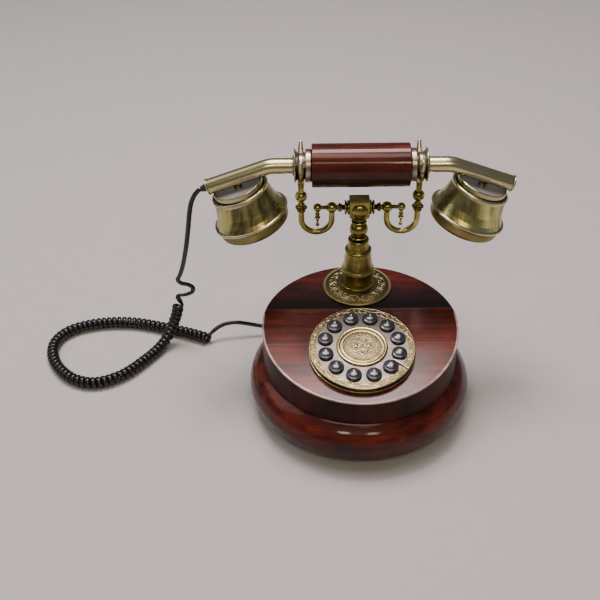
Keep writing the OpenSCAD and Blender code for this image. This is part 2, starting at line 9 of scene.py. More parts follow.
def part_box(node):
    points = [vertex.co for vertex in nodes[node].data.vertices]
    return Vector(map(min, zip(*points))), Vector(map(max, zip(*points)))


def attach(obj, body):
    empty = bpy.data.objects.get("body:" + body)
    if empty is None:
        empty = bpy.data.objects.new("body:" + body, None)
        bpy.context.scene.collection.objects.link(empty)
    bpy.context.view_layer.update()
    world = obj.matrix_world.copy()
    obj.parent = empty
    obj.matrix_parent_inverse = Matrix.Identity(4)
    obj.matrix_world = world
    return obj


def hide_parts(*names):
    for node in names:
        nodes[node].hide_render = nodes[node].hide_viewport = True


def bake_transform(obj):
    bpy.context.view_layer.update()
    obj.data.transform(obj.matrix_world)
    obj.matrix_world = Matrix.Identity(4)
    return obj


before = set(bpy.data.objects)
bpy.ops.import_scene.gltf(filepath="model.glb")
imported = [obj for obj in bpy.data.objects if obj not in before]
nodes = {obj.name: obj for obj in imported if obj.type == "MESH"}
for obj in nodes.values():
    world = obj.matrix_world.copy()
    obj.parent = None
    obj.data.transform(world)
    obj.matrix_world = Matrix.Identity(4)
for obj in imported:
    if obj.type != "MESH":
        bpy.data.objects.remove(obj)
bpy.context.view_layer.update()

scene = bpy.context.scene
MM = 0.001

# Where things are on the part, in mm
CREASE_Y = 19            # where the slope begins, front to back
REAR_H = 89              # the level top above the floor
COLUMN_Y = 54            # the column's axis, front to back
DIAL_DOWN = 51           # the dial's centre, down the slope from the crease
KEY_CIRCLE_R = 32.7
PRONG_TIPS = 216.5       # above this height the prongs are pale brass, a painted highlight

# ---------------------------------------------------------------- camera
CAMERA_AT = (-0.052, -0.700, 0.636)
yaw, pitch, roll = math.radians(-0.1), math.radians(-36.73), math.radians(-0.7)
forward = Vector((math.sin(yaw) * math.cos(pitch), math.cos(yaw) * math.cos(pitch), math.sin(pitch)))
level = forward.cross(Vector((0, 0, 1))).normalized()
upward = level.cross(forward)
right = level * math.cos(roll) + upward * math.sin(roll)
up = -level * math.sin(roll) + upward * math.cos(roll)
cam_data = bpy.data.cameras.new("camera")
cam_data.sensor_width = 36
cam_data.lens = 60
camera = bpy.data.objects.new("camera", cam_data)
camera.matrix_world = Matrix((
    (right.x, up.x, -forward.x, CAMERA_AT[0]),
    (right.y, up.y, -forward.y, CAMERA_AT[1]),
    (right.z, up.z, -forward.z, CAMERA_AT[2]),
    (0, 0, 0, 1)))
scene.collection.objects.link(camera)
scene.camera = camera

# ---------------------------------------------------------------- mesh helpers


def mesh_object(name, verts, faces, mat=None, body=None, smooth=True, sharp=40):
    """A mesh in the part's frame, smooth but for edges sharper than `sharp` degrees."""
    data = bpy.data.meshes.new(name)
    data.from_pydata([tuple(v) for v in verts], [], [tuple(f) for f in faces])
    bm = bmesh.new()
    bm.from_mesh(data)
    bmesh.ops.recalc_face_normals(bm, faces=bm.faces)
    limit = math.radians(sharp)
    for e in bm.edges:
        e.smooth = not (len(e.link_faces) == 2 and e.calc_face_angle(0) > limit)
    for f in bm.faces:
        f.smooth = smooth
    bm.to_mesh(data)
    bm.free()
    obj = bpy.data.objects.new(name, data)
    scene.collection.objects.link(obj)
    if mat:
        data.materials.append(mat)
    if body:
        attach(obj, body)
    return obj


def catmull(points, step):
    """A smooth line through the points, with a point about every `step`."""
    p = np.array(points, float)
    p = np.vstack([2 * p[0] - p[1], p, 2 * p[-1] - p[-2]])
    out = []
    for i in range(1, len(p) - 2):
        a, b, c, d = p[i - 1], p[i], p[i + 1], p[i + 2]
        n = max(1, int(round(np.linalg.norm(c - b) / step)))
        # centripetal knots keep the line free of loops
        t0 = 0.0
        t1 = t0 + max(np.linalg.norm(b - a), 1e-9) ** 0.5
        t2 = t1 + max(np.linalg.norm(c - b), 1e-9) ** 0.5
        t3 = t2 + max(np.linalg.norm(d - c), 1e-9) ** 0.5
        for k in range(n):
            t = t1 + (t2 - t1) * k / n
            a1 = (t1 - t) / (t1 - t0) * a + (t - t0) / (t1 - t0) * b
            a2 = (t2 - t) / (t2 - t1) * b + (t - t1) / (t2 - t1) * c
            a3 = (t3 - t) / (t3 - t2) * c + (t - t2) / (t3 - t2) * d
            b1 = (t2 - t) / (t2 - t0) * a1 + (t - t0) / (t2 - t0) * a2
            b2 = (t3 - t) / (t3 - t1) * a2 + (t - t1) / (t3 - t1) * a3
            out.append((t2 - t) / (t2 - t1) * b1 + (t - t1) / (t2 - t1) * b2)
    out.append(p[-2])
    return np.array(out)


def resample(line, count):
    """The same line with `count` points at equal distances."""
    seg = np.linalg.norm(np.diff(line, axis=0), axis=1)
    s = np.concatenate([[0], np.cumsum(seg)])
    t = np.linspace(0, s[-1], count)
    return np.stack([np.interp(t, s, line[:, i]) for i in range(3)], 1)


def transport(line, first):
    """Tangents and a pair of normals that turn with the line and never twist."""
    tan = np.gradient(line, axis=0)
    tan /= np.linalg.norm(tan, axis=1)[:, None]
    n = np.array(first, float)
    n -= tan[0] * n.dot(tan[0])
    n /= np.linalg.norm(n)
    normals = [n]
    for i in range(1, len(line)):
        n = n - tan[i] * n.dot(tan[i])
        n /= np.linalg.norm(n)
        normals.append(n)
    normals = np.array(normals)
    return tan, normals, np.cross(tan, normals)


def tube_mesh(line, normals, sides, wide, high, closed=False):
    """Rings round a line: `wide` is the half width along normals, `high` the other one."""
    tan = np.gradient(line, axis=0)
    tan /= np.linalg.norm(tan, axis=1)[:, None]
    other = np.cross(tan, normals)
    verts, faces = [], []
    wide = np.broadcast_to(wide, len(line))
    high = np.broadcast_to(high, len(line))
    for i, p in enumerate(line):
        for k in range(sides):
            a = 2 * math.pi * k / sides
            verts.append(p + normals[i] * wide[i] * math.cos(a) + other[i] * high[i] * math.sin(a))
    last = len(line) if closed else len(line) - 1
    for i in range(last):
        j = (i + 1) % len(line)
        for k in range(sides):
            m = (k + 1) % sides
            faces.append((i * sides + k, i * sides + m, j * sides + m, j * sides + k))
    if not closed:
        faces.append(tuple(range(sides))[::-1])
        faces.append(tuple((len(line) - 1) * sides + k for k in range(sides)))
    return verts, faces


def join(parts):
    """Several meshes, each vertices and faces, as one."""
    verts, faces = [], []
    for v, f in parts:
        base = len(verts)
        verts += list(v)
        faces += [tuple(base + i for i in g) for g in f]
    return verts, faces


def tree_of(*names):
    """The surfaces of these nodes, to drape things on."""
    verts, faces = [], []
    for n in names:
        d = nodes[n].data
        base = len(verts)
        verts += [v.co.copy() for v in d.vertices]
        faces += [tuple(base + i for i in p.vertices) for p in d.polygons]
    return BVHTree.FromPolygons(verts, faces)


# ---------------------------------------------------------------- the cord
HANDSET_LEAD = [[-139.6, 54, 194.2], [-143.5, 54.5, 189.5], [-147.5, 56, 181], [-150.5, 58, 168],
                [-153.5, 62, 149], [-157.5, 67, 126], [-163.5, 75, 99], [-167.5, 79.5, 86],
                [-170.5, 82.5, 78], [-168, 84, 73], [-161.5, 85.5, 70], [-157.5, 87, 65.5],
                [-158.5, 88, 59.5], [-165, 89, 55.5], [-173, 89, 54], [-177, 89, 50.5],
                [-176.5, 88.5, 46]]
CURL = [[-173.5, 88, 46], [-174.5, 87.5, 38], [-178, 86, 27], [-182.5, 82, 17], [-188, 74.5, 9.5],
        [-195, 64, 6.2], [-207.5, 46, 6.1], [-220, 31, 6.1], [-235, 20.5, 6.1], [-251.5, 16, 6.1],
        [-269, 21, 6.1], [-284, 34, 6.1], [-295, 52, 6.1], [-299, 72, 6.1], [-294, 88.5, 6.1],
        [-281.5, 100, 6.1], [-263, 107, 6.1], [-242, 109.5, 6.1], [-221, 108, 6.1],
        [-199, 102, 6.1], [-179.5, 95.5, 6.1], [-161, 88.5, 6.1], [-144.5, 80.5, 6.1]]
BASE_LEAD = [[-148, 81.5, 9.5], [-142.5, 84, 11.5], [-136, 88.5, 14.5], [-129.5, 91, 16.5],
             [-118.5, 92.5, 17.5], [-106.5, 94, 14.5], [-92, 94, 11.5], [-81, 91.5, 13],
             [-73.5, 87, 16.5], [-67, 79.5, 18], [-63, 75, 18]]
WIRE_R = 4.45            # from the coil's axis to the middle of the wire
WIRE_WIDE, WIRE_THICK = 2.35, 1.5
PITCH = 5.15
PER_TURN = 16            # points in one turn of the coil
TURN_START = 0.4         # the first point's angle round the coil
UNEVEN = 0.12            # how much the coil's radius varies
LEAD_STEP = 1.6
COIL_FROM, COIL_TO = 5, -3   # the coil's points that are kept; the leads meet it there
TWIST_PASSES = 14        # how far the leads' flat sides turn gently into the coil's


def cord_line():
    """The cord's centreline in mm, and for each point which way its wide side faces."""
    axis = catmull(CURL, 0.5)
    length = np.linalg.norm(np.diff(axis, axis=0), axis=1).sum()
    turns = int(length / PITCH)
    axis = resample(axis, turns * PER_TURN + 1)
    tan, n1, n2 = transport(axis, (-1, 0, 0))
    a = 2 * math.pi * np.arange(len(axis)) / PER_TURN + TURN_START
    rng = np.random.RandomState(3)
    knots = np.linspace(0, len(axis), 60)
    wobble = np.interp(np.arange(len(axis)), knots, rng.uniform(-UNEVEN, UNEVEN, len(knots)))
    radius = WIRE_R - UNEVEN + wobble
    helix = axis + n1 * (radius * np.cos(a))[:, None] + n2 * (radius * np.sin(a))[:, None]
    helix[:, 2] = np.maximum(helix[:, 2], WIRE_THICK + 0.05)
    # the leads end on the coil's first and last kept points
    coil = helix[COIL_FROM:COIL_TO]
    lead_a = catmull(HANDSET_LEAD[:-2] + [list(coil[0])], LEAD_STEP)[:-1]
    lead_b = catmull([list(coil[-1])] + BASE_LEAD[1:], LEAD_STEP)[1:]
    line = np.vstack([lead_a, coil, lead_b])
    ta, na, _ = transport(lead_a, (1, 0.2, 0))
    tb, nb, _ = transport(lead_b, (0, 0.3, 1))
    wide = np.vstack([na, tan[COIL_FROM:COIL_TO], nb])
    for _ in range(TWIST_PASSES):
        wide[1:-1] = wide[:-2] * 0.25 + wide[1:-1] * 0.5 + wide[2:] * 0.25
    t = np.gradient(line, axis=0)
    t /= np.linalg.norm(t, axis=1)[:, None]
    wide -= t * (wide * t).sum(1)[:, None]
    wide /= np.linalg.norm(wide, axis=1)[:, None]
    return line, wide, turns


line, wide_dir, n_turns = cord_line()
v, f = tube_mesh(line, wide_dir, 10, WIRE_WIDE, WIRE_THICK)
cord = mesh_object("cord", np.array(v) * MM, f, sharp=80)

# ---------------------------------------------------------------- materials


class Mat:
    """A short way to build a node material."""

    def __init__(self, name):
        self.mat = bpy.data.materials.new(name)
        self.mat.use_nodes = True
        self.t = self.mat.node_tree
        self.t.nodes.clear()
        self.out = self.node("ShaderNodeOutputMaterial")
        self.bsdf = self.node("ShaderNodeBsdfPrincipled")
        self.link(self.bsdf, 0, self.out, 0)
        self.coord = self.node("ShaderNodeTexCoord")

    def node(self, kind, **props):
        n = self.t.nodes.new(kind)
        for k, val in props.items():
            setattr(n, k, val)
        return n

    def link(self, a, out, b, inp):
        self.t.links.new(a.outputs[out], b.inputs[inp])

    def mapping(self, scale, loc=(0, 0, 0)):
        m = self.node("ShaderNodeMapping")
        m.inputs["Scale"].default_value = scale
        m.inputs["Location"].default_value = loc
        self.link(self.coord, "Object", m, "Vector")
        return m

    def noise(self, scale, detail, rough, dist=0.0, mapping=None):
        n = self.node("ShaderNodeTexNoise")
        n.inputs["Scale"].default_value = scale
        n.inputs["Detail"].default_value = detail
        n.inputs["Roughness"].default_value = rough
        n.inputs["Distortion"].default_value = dist
        self.link(mapping or self.coord, "Vector" if mapping else "Object", n, "Vector")
        return n

    def ramp(self, src, stops):
        """A colour from a noise's Fac, by three stops."""
        r = self.node("ShaderNodeValToRGB")
        while len(r.color_ramp.elements) < len(stops):
            r.color_ramp.elements.new(0.5)
        for e, (pos, col) in zip(r.color_ramp.elements, stops):
            e.position = pos
            e.color = (*col, 1)
        self.link(src, "Fac", r, "Fac")
        return r.outputs[0]

    def mix(self, fac, a, b, mode="MIX", amount=None):
        m = self.node("ShaderNodeMix", data_type="RGBA", blend_type=mode)
        if amount is not None:
            m.inputs[0].default_value = amount
        elif fac is not None:
            self.t.links.new(fac, m.inputs[0])
        for sock, val in ((6, a), (7, b)):
            if isinstance(val, bpy.types.NodeSocket):
                self.t.links.new(val, m.inputs[sock])
            else:
                m.inputs[sock].default_value = (*val, 1)
        return m.outputs[2]

    def maprange(self, src, lo, hi, out_lo, out_hi):
        m = self.node("ShaderNodeMapRange")
        self.t.links.new(src, m.inputs[0])
        for i, val in enumerate((lo, hi, out_lo, out_hi)):
            m.inputs[i + 1].default_value = val
        return m.outputs[0]

    def math(self, op, a, b=None):
        m = self.node("ShaderNodeMath", operation=op)
        for i, val in enumerate((a, b)):
            if isinstance(val, bpy.types.NodeSocket):
                self.t.links.new(val, m.inputs[i])
            elif val is not None:
                m.inputs[i].default_value = val
        return m.outputs[0]

    def bump(self, height, strength, distance):
        b = self.node("ShaderNodeBump")
        b.inputs["Strength"].default_value = strength
        b.inputs["Distance"].default_value = distance
        self.t.links.new(height, b.inputs["Height"])
        self.link(b, "Normal", self.bsdf, "Normal")

    def set(self, **values):
        """Set or link the shader's inputs, and give the finished material."""
        for k, val in values.items():
            sock = self.bsdf.inputs[k.replace("_", " ")]
            if isinstance(val, bpy.types.NodeSocket):
                self.t.links.new(val, sock)
            else:
                sock.default_value = val
        return self.mat


def brass(name, dark, mid, light, rough=(0.2, 0.36), hollow_patina_and_shade=0.6, scale=60, tarnish=0.0,
          stretch=(1, 1, 1)):
    """Aged brass: three tones in clouds, darker in the corners and between parts (patina in the hollows,
    and painted shade), with brown tarnish patches.
    """
    tarnish_brown = (0.16, 0.075, 0.018)
    m = Mat(name)
    big = m.noise(scale, 4, 0.5, 0.4, m.mapping(stretch))
    col = m.ramp(big, [(0.3, dark), (0.5, mid), (0.72, light)])
    if tarnish:
        patch = m.noise(scale * 0.45, 3, 0.6, 0.8, m.mapping(stretch, loc=(0.31, 0.17, 0.05)))
        amount = m.maprange(patch.outputs["Fac"], 0.52, 0.68, 0.0, tarnish)
        col = m.mix(amount, col, tarnish_brown)
    # patina in the hollows and painted shade: the colour darkens where ambient occlusion finds surfaces
    # close by
    ao = m.node("ShaderNodeAmbientOcclusion", samples=8)
    ao.inputs["Distance"].default_value = 0.004
    patina_and_shade_mul = m.maprange(ao.outputs["AO"], 0.25, 0.85, 1 - hollow_patina_and_shade, 1.0)
    col = m.mix(None, col, patina_and_shade_mul, "MULTIPLY", 1.0)
    r = m.maprange(big.outputs["Fac"], 0.3, 0.7, rough[1], rough[0])
    fine = m.noise(420, 2, 0.5)
    m.bump(fine.outputs["Fac"], 0.035, 0.0002)
    return m.set(Base_Color=col, Metallic=1.0, Roughness=r)


def patina_band(name, axis_at, axis, edges, inner, recess, rim, rough=(0.3, 0.42)):
    """Brass whose tone changes with the distance from an axis: inner field, dark band, rim."""
    m = Mat(name)
    off = m.node("ShaderNodeVectorMath", operation="SUBTRACT")
    m.link(m.coord, "Object", off, 0)
    off.inputs[1].default_value = axis_at
    cross = m.node("ShaderNodeVectorMath", operation="CROSS_PRODUCT")
    m.link(off, 0, cross, 0)
    cross.inputs[1].default_value = axis
    dist = m.node("ShaderNodeVectorMath", operation="LENGTH")
    m.link(cross, 0, dist, 0)
    cloud = m.noise(110, 4, 0.6, 0.5)
    shade = m.maprange(cloud.outputs["Fac"], 0.3, 0.7, 0.72, 1.2)
    out = dist.outputs["Value"]
    col = m.mix(m.maprange(out, edges[0], edges[0] + 0.0004, 0.0, 1.0), inner, recess)
    col = m.mix(m.maprange(out, edges[1], edges[1] + 0.0003, 0.0, 1.0), col, rim)
    col = m.mix(None, col, shade, "MULTIPLY", 1.0)
    m.bump(cloud.outputs["Fac"], 0.05, 0.0003)
    r = m.maprange(cloud.outputs["Fac"], 0.3, 0.7, rough[1], rough[0])
    return m.set(Base_Color=col, Metallic=1.0, Roughness=r)


def wood(name, tones, seams=(), shade=None, low=None, grain=(9, 95, 95), gloss=0.12, mottle=0.8,
         lacquer=1.0, ior=1.34):
    """Lacquered mahogany. seams are the plank joints, (y, tone of the plank behind it);
    shade is (y0, y1, dark, light), painted shade behind y0 that goes from dark at y0 to light at y1;
    low is (z0, z1, dark), painted shade that darkens the underside below z0 and fades out by z1."""
    seam_red = (0.26, 0.05, 0.035)
    m = Mat(name)
    mp = m.mapping(grain)
    warp = m.noise(1.0, 5, 0.55, 1.0, mp)
    fine = m.noise(4.0, 6, 0.65, 0.4, mp)
    cloud = m.noise(26, 3, 0.55, 0.7)
    g = m.ramp(warp, [(0.30, tones[0]), (0.5, tones[1]), (0.70, tones[2])])
    streak = m.maprange(fine.outputs["Fac"], 0.35, 0.65, 0.76, 1.14)
    col = m.mix(None, g, streak, "MULTIPLY", 1.0)
    blot = m.maprange(cloud.outputs["Fac"], 0.36, 0.62, 0.35, 1.3)
    col = m.mix(None, col, blot, "MULTIPLY", mottle)
    sep = m.node("ShaderNodeSeparateXYZ")
    m.link(m.coord, "Object", sep, 0)
    for y, tone in seams:
        side = m.maprange(m.math("SUBTRACT", sep.outputs["Y"], y), -0.0001, 0.0001, 0.0, 1.0)
        col = m.mix(side, col, m.mix(None, col, tone, "MULTIPLY", 1.0))
        near = m.math("ABSOLUTE", m.math("SUBTRACT", sep.outputs["Y"], y))
        edge = m.maprange(near, 0.0, 0.0006, 0.8, 0.0)
        col = m.mix(edge, col, seam_red)
    # painted shade: behind y0 the colour runs from dark near y0 to light at y1
    if shade:
        y0, y1, dark, light = shade
        behind = m.maprange(sep.outputs["Y"], y0 - 0.0001, y0 + 0.0001, 0.0, 1.0)
        fade = m.maprange(sep.outputs["Y"], y0 + 0.008, y1, dark, light)
        col = m.mix(behind, col, m.mix(None, col, fade, "MULTIPLY", 1.0))
    # painted shade: the colour darkens towards the bottom, below z0
    if low:
        dark = m.maprange(sep.outputs["Z"], low[0], low[1], low[2], 1.0)
        col = m.mix(None, col, dark, "MULTIPLY", 1.0)
    m.bump(fine.outputs["Fac"], 0.03, 0.0003)
    rough = m.maprange(cloud.outputs["Fac"], 0.3, 0.7, 0.42, 0.55)
    return m.set(Base_Color=col, Roughness=rough, Coat_Weight=lacquer, Coat_Roughness=gloss,
                 Coat_IOR=ior, Specular_IOR_Level=0.12)


def plain(name, colour, rough, metallic=0.0, bump=0.1, scale=700, coat=0.0, spread=0.15):
    """One colour that varies a little, by `spread`, with a fine bump."""
    m = Mat(name)
    n = m.noise(scale, 4, 0.6)
    lo = tuple(c * (1 - spread) for c in colour)
    hi = tuple(min(1, c * (1 + spread)) for c in colour)
    col = m.ramp(n, [(0.3, lo), (0.7, hi)])
    m.bump(n.outputs["Fac"], bump, 0.0003)
    r = m.maprange(n.outputs["Fac"], 0.3, 0.7, rough * 0.85, rough * 1.15)
    return m.set(Base_Color=col, Roughness=r, Metallic=metallic, Coat_Weight=coat,
                 Coat_Roughness=0.1)


# ---------------------------------------------------------------- the sloped face and the flange
SLOPE = math.radians(10)
DIAL = Vector((0, (CREASE_Y - DIAL_DOWN * math.cos(SLOPE)) * MM,
               (REAR_H - DIAL_DOWN * math.sin(SLOPE)) * MM))
SX = Vector((1, 0, 0))
SY = Vector((0, math.cos(SLOPE), math.sin(SLOPE)))
SN = Vector((0, -math.sin(SLOPE), math.cos(SLOPE)))
FLANGE = Vector((0, COLUMN_Y * MM, REAR_H * MM))
UP = Vector((0, 0, 1))

olive_brass = brass("antique_brass", (0.15, 0.112, 0.022), (0.30, 0.25, 0.065), (0.52, 0.46, 0.16),
                    rough=(0.19, 0.3), scale=40, tarnish=0.45)
# pale brass for the prong tips and the finger stop's edge line: painted highlight
painted_highlight_brass = brass("painted_highlight_brass", (0.60, 0.54, 0.36), (0.72, 0.66, 0.46), (0.8, 0.75, 0.56))
cup_brass = brass("cup_brass", (0.13, 0.11, 0.055), (0.49, 0.46, 0.17), (0.80, 0.77, 0.37),
                  rough=(0.22, 0.34), scale=62, tarnish=0.75, stretch=(1.6, 1.6, 0.2))
cap_brass = brass("cap_brass", (0.13, 0.10, 0.03), (0.22, 0.185, 0.065), (0.30, 0.26, 0.10),
                  rough=(0.28, 0.4), scale=40, tarnish=0.3)
tube_brass = brass("tube_brass", (0.44, 0.40, 0.20), (0.56, 0.52, 0.29), (0.68, 0.64, 0.39),
                   rough=(0.2, 0.3), scale=30)
silver_brass = brass("silver_brass", (0.30, 0.262, 0.19), (0.43, 0.385, 0.295), (0.60, 0.555, 0.455),
                     rough=(0.24, 0.34), hollow_patina_and_shade=0.8)
pale_face = plain("pale_face", (0.52, 0.51, 0.55), 0.34, metallic=0.8, bump=0.05, scale=60,
                  spread=0.08)
# lighter brass for the cups' beads: wear, and a painted highlight
bead_brass_wear_and_highlight = brass("bead_brass_wear_and_highlight", (0.48, 0.42, 0.25), (0.60, 0.54, 0.34), (0.72, 0.67, 0.46),
                   rough=(0.2, 0.3))
champagne = patina_band("champagne", DIAL, SN, (0.0397, 0.0450), (0.175, 0.165, 0.15),
                        (0.125, 0.10, 0.045), (0.50, 0.44, 0.28))
medal_brass = patina_band("medal_brass", DIAL, SN, (0.0138, 0.0164), (0.17, 0.145, 0.08),
                          (0.13, 0.10, 0.045), (0.55, 0.47, 0.26))
engraved = brass("engraved", (0.52, 0.46, 0.28), (0.64, 0.58, 0.38), (0.76, 0.71, 0.50),
                 rough=(0.2, 0.3), scale=90, hollow_patina_and_shade=0.5)
flange_brass = patina_band("flange_brass", FLANGE, UP, (0.0160, 0.0292), (0.20, 0.15, 0.05),
                           (0.125, 0.10, 0.045), (0.36, 0.31, 0.125))
flange_relief = brass("flange_relief", (0.30, 0.265, 0.14), (0.41, 0.37, 0.21), (0.52, 0.48, 0.29),
                      rough=(0.28, 0.38), hollow_patina_and_shade=0.7)
gold_ring = brass("gold_ring", (0.50, 0.40, 0.14), (0.62, 0.51, 0.21), (0.72, 0.62, 0.30),
                  rough=(0.2, 0.3))
steel = brass("steel", (0.42, 0.42, 0.42), (0.5, 0.5, 0.5), (0.6, 0.6, 0.6), rough=(0.3, 0.4),
              hollow_patina_and_shade=0.3)

MAHOGANY = [(0.028, 0.0026, 0.0012), (0.088, 0.0090, 0.0032), (0.145, 0.020, 0.0070)]


def stain(strength):
    """The mahogany tones, made lighter or darker."""
    return [tuple(c * strength for c in t) for t in MAHOGANY]


# the level top behind the crease gets painted shade: dark near the crease, lighter towards the back
block_wood = wood("block_wood", stain(1.1), shade=(CREASE_Y * MM, 0.066, 0.12, 1.2), gloss=0.17,
                  seams=[(-0.0217, (0.72, 0.58, 0.58)), (CREASE_Y * MM, (1.0, 0.85, 0.8))],
                  ior=1.42)
# the block's side wall: a darker copy of the block's wood, painted shade; the wall's real stain is the
# same as the top's
wall_wood_painted_shade = wood("wall_wood_painted_shade", stain(0.38), grain=(40, 40, 14), gloss=0.25, lacquer=0.16)
# a lighter, glossier wood for the bead along the block's rim: painted highlight
edge_wood_painted_highlight = wood("edge_wood_painted_highlight", [(0.40, 0.22, 0.20), (0.56, 0.36, 0.34), (0.70, 0.50, 0.48)],
                 gloss=0.12, ior=2.0)
# painted shade: the ring darkens towards the bottom (low)
ring_wood = wood("ring_wood", stain(0.92), grain=(12, 50, 90), mottle=0.5, lacquer=0.8,
                 low=(0.008, 0.036, 0.2))
# painted shade: the grip darkens towards its underside (low)
grip_wood = wood("grip_wood", stain(1.15), grain=(9, 80, 80), gloss=0.09, mottle=0.4,
                 low=(0.209, 0.230, 0.10))
black_gloss = plain("black_gloss", (0.030, 0.035, 0.048), 0.42, metallic=0.5, bump=0.02, coat=1.0)
black_matte = plain("black_matte", (0.016, 0.016, 0.016), 0.5)
rubber = plain("rubber", (0.018, 0.018, 0.019), 0.34, bump=0.08)
cord_mat = plain("cord_rubber", (0.008, 0.008, 0.009), 0.26, bump=0.04, scale=500)
board = plain("board", (0.03, 0.09, 0.04), 0.4)
white_ink = plain("white_ink", (0.85, 0.86, 0.88), 0.4, bump=0.02)
groove_black = plain("groove_black", (0.01, 0.009, 0.008), 0.45)


def paint(mat, *names):
    """Give whole nodes one material."""
    for n in names:
        o = nodes[n]
        o.data.materials.clear()
        o.data.materials.append(mat)


def paint_where(node, mat, test):
    """Give the polygons of a node that pass test(polygon) a material of their own."""
    o = nodes[node]
    o.data.materials.append(mat)
    slot = len(o.data.materials) - 1
    for p in o.data.polygons:
        if test(p):
            p.material_index = slot


# each key's digit and letters, and its place round the dial in steps of 30 degrees
KEYS = {"key_1": ("1", "", 0), "key_2": ("2", "ABC", -1), "key_3": ("3", "DEF", -2),
        "key_4": ("4", "GHI", -3), "key_5": ("5", "JKL", -4), "key_6": ("6", "MNO", -5),
        "key_7": ("7", "PRS", -6), "key_8": ("8", "TUV", -7), "key_9": ("9", "WXY", -8),
        "key_0": ("0", "", -9), "key_star": ("*", "", 2), "key_hash": ("#", "", 1)}
paint(olive_brass, "column_foot", "column_sleeve", "cradle_stem", "cradle_block", "cradle_arms",
      "drop_finials", "hooks", "forks")
# the prong tips get the pale brass: painted highlight
paint_where("forks", painted_highlight_brass, lambda p: p.center.z > PRONG_TIPS * MM)
paint(cup_brass, "cup_shells")
paint(cap_brass, "mouth_cap", "ear_cap")
paint(tube_brass, "handset_tubes")
paint(silver_brass, "collars")
paint(tube_brass, "back_discs")


def cup_axis(side):
    """One cup's axis: its side, the middle of its back disc's flat top, and the direction up."""
    disc = [p for p in nodes["back_discs"].data.polygons
            if p.center.x * side > 0 and p.normal.z > 0.7]
    top = sum((p.normal * p.area for p in disc), Vector()).normalized()
    mid = sum((p.center * p.area for p in disc), Vector()) / sum(p.area for p in disc)
    return side, mid, top


def on_cup(p, axis, near, far, low=-1.0, high=1.0):
    """Whether a polygon is this far (mm) from a cup's axis and above its back disc's face."""
    side, mid, top = axis
    off = p.center - mid
    return (p.center.x * side > 0 and near < off.cross(top).length / MM < far
            and low < off.dot(top) / MM < high)


for cup in (cup_axis(-1), cup_axis(1)):
    paint_where("back_discs", pale_face,
                lambda p: on_cup(p, cup, 3.7, 20.8) and p.normal.dot(cup[2]) > 0.97)
    # the stud in the middle of each disc takes the dark cap brass: painted shade, as if in the tube's
    # shadow
    paint_where("back_discs", cap_brass, lambda p: on_cup(p, cup, 0, 3.7, -1, 4))
    # the cups' two beads take the lighter brass: wear and painted highlight
    paint_where("cup_shells", bead_brass_wear_and_highlight, lambda p: on_cup(p, cup, 23.8, 26.6, -6.5, -2.5))
    paint_where("cup_shells", bead_brass_wear_and_highlight, lambda p: on_cup(p, cup, 32.6, 36, -33.0, -27.0))
paint(champagne, "dial_plate", "finger_stop")
paint(medal_brass, "medallion")
paint(gold_ring, "centre_ring", "dial_trim")
paint(flange_brass, "flange")
paint(steel, "plate_screws", "ballast", "ringer", "tie_rod", "capsules", "mounting_tube",
      "mounting_nut", "plunger_spring", "ringer_slider")
paint(block_wood, "top_block")
paint_where("top_block", wall_wood_painted_shade, lambda p: p.normal.z < 0.6)   # all but its two top faces, in the darker wall wood: painted shade
paint(ring_wood, "plinth_ring")
paint(grip_wood, "grip")
paint(black_gloss, *KEYS)
paint(black_matte, "bottom_plate", "line_jack", "handset_jack", "ringer_switch", "hook_switch")
paint(groove_black, "dial_housing")
paint(rubber, "feet", "keypad_mat", "cord_gland", "cord_plug")
paint(board, "circuit_board", "keypad_board")

# ---------------------------------------------------------------- the cord, finished
cord.data.materials.append(cord_mat)
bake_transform(cord)
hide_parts("cord_lead_handset", "cord_curl", "cord_lead_base")

# ---------------------------------------------------------------- raised ornament, sizes in mm


def on_slope(x, y, z=0.0):
    """A point on the sloped face, from the dial's centre."""
    return DIAL + (SX * x + SY * y + SN * z) * MM


def drape(points, tree, normal, place, lift=0.0):
    """Flat points (mm) put onto the surface below them; those that miss keep the last height."""
    out, last = [], 0.0
    for x, y in points:
        start = place(x, y, 30)
        hit = tree.ray_cast(start, -normal, 0.08)
        if hit[0] is not None:
            last = (hit[0] - place(x, y, 0)).dot(normal) / MM
        out.append(place(x, y, last + lift))
    return out


def bead_line(points, radius, normal, sides=6, taper=None, closed=False):
    """A thin raised line, flattened towards the surface."""
    p = np.array([tuple(q) for q in points])
    n = np.tile(np.array(tuple(normal)), (len(p), 1))
    r = np.full(len(p), radius * MM)
    if taper:
        r = r * np.array([taper(t) for t in np.linspace(0, 1, len(p))])
    t = np.gradient(p, axis=0)
    t /= np.linalg.norm(t, axis=1)[:, None]
    n = n - t * (n * t).sum(1)[:, None]
    n /= np.linalg.norm(n, axis=1)[:, None]
    return tube_mesh(p, n, sides, r * 0.7, r, closed)


def polar(r, a):
    """x and y at a radius and an angle."""
    return (r * math.cos(a), r * math.sin(a))


def circle(r, count):
    return [polar(r, 2 * math.pi * i / count) for i in range(count)]


